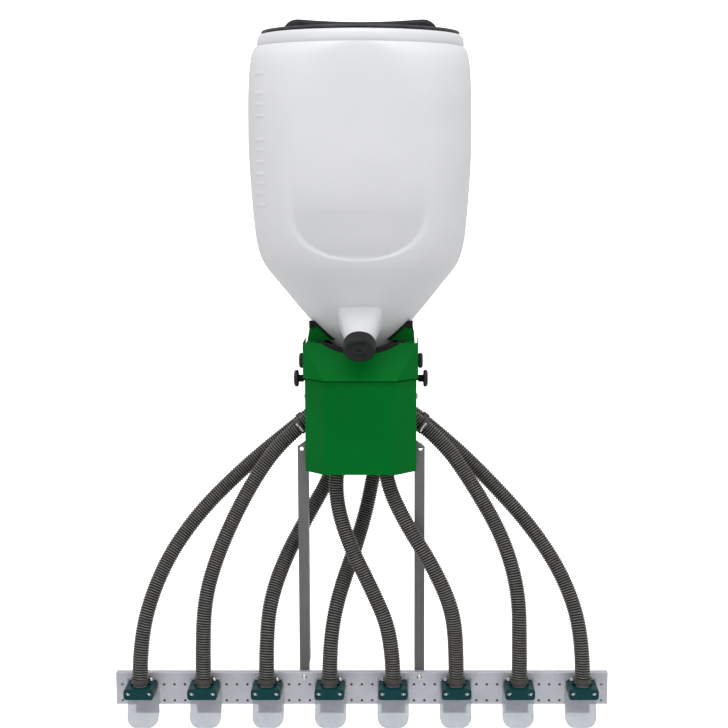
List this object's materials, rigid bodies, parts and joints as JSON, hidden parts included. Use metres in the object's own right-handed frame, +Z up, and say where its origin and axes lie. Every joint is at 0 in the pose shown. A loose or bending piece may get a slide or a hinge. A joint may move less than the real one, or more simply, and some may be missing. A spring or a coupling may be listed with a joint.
{
  "type": "mounted seed spreader",
  "caption": "Upright hopper over a folded metering housing that feeds corrugated hoses to outlets clamped along a perforated rail; bolts to an implement by its rear plate.",
  "frame": {"origin": "centre of the four mounting holes, on the rear plate's back face", "axes": "+Z up, +Y backwards towards the implement, +X to the right seen from the front"},
  "size_m": [1.18, 0.489, 1.6681],
  "materials": {
    "hopper_white": "satin moulded",
    "lid_black": "fine texture",
    "cap_black": "ribbed",
    "seal_rubber": "matt",
    "green_paint": "powder coated",
    "trim_rubber": "matt",
    "knob_black": "moulded",
    "grey_steel": "zinc plated",
    "bright_steel": "zinc plated",
    "dark_steel": "galvanised, dull",
    "hose_black": "corrugated",
    "clamp_green": "moulded",
    "clear_plate": "clear",
    "metering_grey": "moulded",
    "motor_black": "satin",
    "bronze": "turned",
    "pipe_grey": "moulded"
  },
  "bodies": {
    "frame": {"hopper_tank": "hopper_white", "side_plate_left": "green_paint", "side_plate_right": "green_paint", "rear_plate": "green_paint", "chamber_shelf": "green_paint", "block_shelf": "green_paint", "hopper_cradle": "green_paint", "front_bezel": "green_paint", "bezel_trim": "trim_rubber", "wing_trim": "trim_rubber", "guide_bolts": "bright_steel", "cable_gland": "knob_black", "dosing_block": "metering_grey", "actuator_body": "motor_black", "drop_tube": "pipe_grey", "distributor_chamber": "metering_grey", "hose_spigots": "pipe_grey", "chamber_lid": "metering_grey", "shaft_bush": "bronze", "motor": "motor_black", "outlet_rail": "grey_steel", "clamp_bolts": "bright_steel", "deflectors": "clear_plate", "deflector_brackets": "dark_steel", "outlet_pipes": "pipe_grey", "strut_left": "dark_steel", "strut_right": "dark_steel", "strut_bolts": "bright_steel", "lower_hose_clips": "bright_steel", "upper_hose_clips": "bright_steel", "pipe_clamp_1": "clamp_green", "hose_1": "hose_black", "pipe_clamp_2": "clamp_green", "hose_2": "hose_black", "pipe_clamp_3": "clamp_green", "hose_3": "hose_black", "pipe_clamp_4": "clamp_green", "hose_4": "hose_black", "pipe_clamp_5": "clamp_green", "hose_5": "hose_black", "pipe_clamp_6": "clamp_green", "hose_6": "hose_black", "pipe_clamp_7": "clamp_green", "hose_7": "hose_black", "pipe_clamp_8": "clamp_green", "hose_8": "hose_black"},
    "lid_ring": {"lid_seal": "seal_rubber"},
    "lid": {"hopper_lid": "lid_black"},
    "cap_ring": {"drain_gasket": "seal_rubber"},
    "cap": {"drain_cap": "cap_black"},
    "cover": {"front_cover": "green_paint"},
    "upper_left": {"upper_knob_left": "knob_black"},
    "upper_right": {"upper_knob_right": "knob_black"},
    "lower_left": {"lower_knob_left": "knob_black"},
    "lower_right": {"lower_knob_right": "knob_black"},
    "metering_slide": {"dosing_slide": "bright_steel", "actuator_rod": "bright_steel"},
    "drive": {"rotor_shaft": "bright_steel", "distributor_rotor": "metering_grey", "stirrer": "bright_steel"}
  },
  "joints": [
    {"name": "lid_lift", "type": "slide", "parent": "frame", "child": "lid_ring", "axis": [0, 0, 1], "range_m": [0, 0.3]},
    {"name": "lid_turn", "type": "hinge", "parent": "lid_ring", "child": "lid", "pos_m": [0, -0.125, 0.865], "axis": [0, 0, 1], "continuous": true},
    {"name": "cap_travel", "type": "slide", "parent": "frame", "child": "cap_ring", "axis": [0, -0.7771, -0.6293], "range_m": [0, 0.03]},
    {"name": "cap_turn", "type": "hinge", "parent": "cap_ring", "child": "cap", "pos_m": [0, -0.32971, 0.14457], "axis": [0, -0.7771, -0.6293], "range_deg": [0, 1080]},
    {"name": "cover_pull", "type": "slide", "parent": "frame", "child": "cover", "axis": [0, -1, 0], "range_m": [0, 0.15]},
    {"name": "upper_left_turn", "type": "hinge", "parent": "frame", "child": "upper_left", "pos_m": [-0.14, -0.2, 0.106], "axis": [-1, 0, 0], "continuous": true},
    {"name": "upper_right_turn", "type": "hinge", "parent": "frame", "child": "upper_right", "pos_m": [0.14, -0.2, 0.106], "axis": [1, 0, 0], "continuous": true},
    {"name": "lower_left_turn", "type": "hinge", "parent": "frame", "child": "lower_left", "pos_m": [-0.14, -0.205, 0.0645], "axis": [-1, 0, 0], "continuous": true},
    {"name": "lower_right_turn", "type": "hinge", "parent": "frame", "child": "lower_right", "pos_m": [0.14, -0.205, 0.0645], "axis": [1, 0, 0], "continuous": true},
    {"name": "metering_open", "type": "slide", "parent": "frame", "child": "metering_slide", "axis": [0, 1, 0], "range_m": [0, 0.04]},
    {"name": "rotor_spin", "type": "hinge", "parent": "frame", "child": "drive", "pos_m": [0, -0.125, 0], "axis": [0, 0, 1], "continuous": true}
  ],
  "couplings": [
    {"joint": "cap_travel", "follows": "cap_turn", "m_per_rad": 0.0015915}
  ]
}
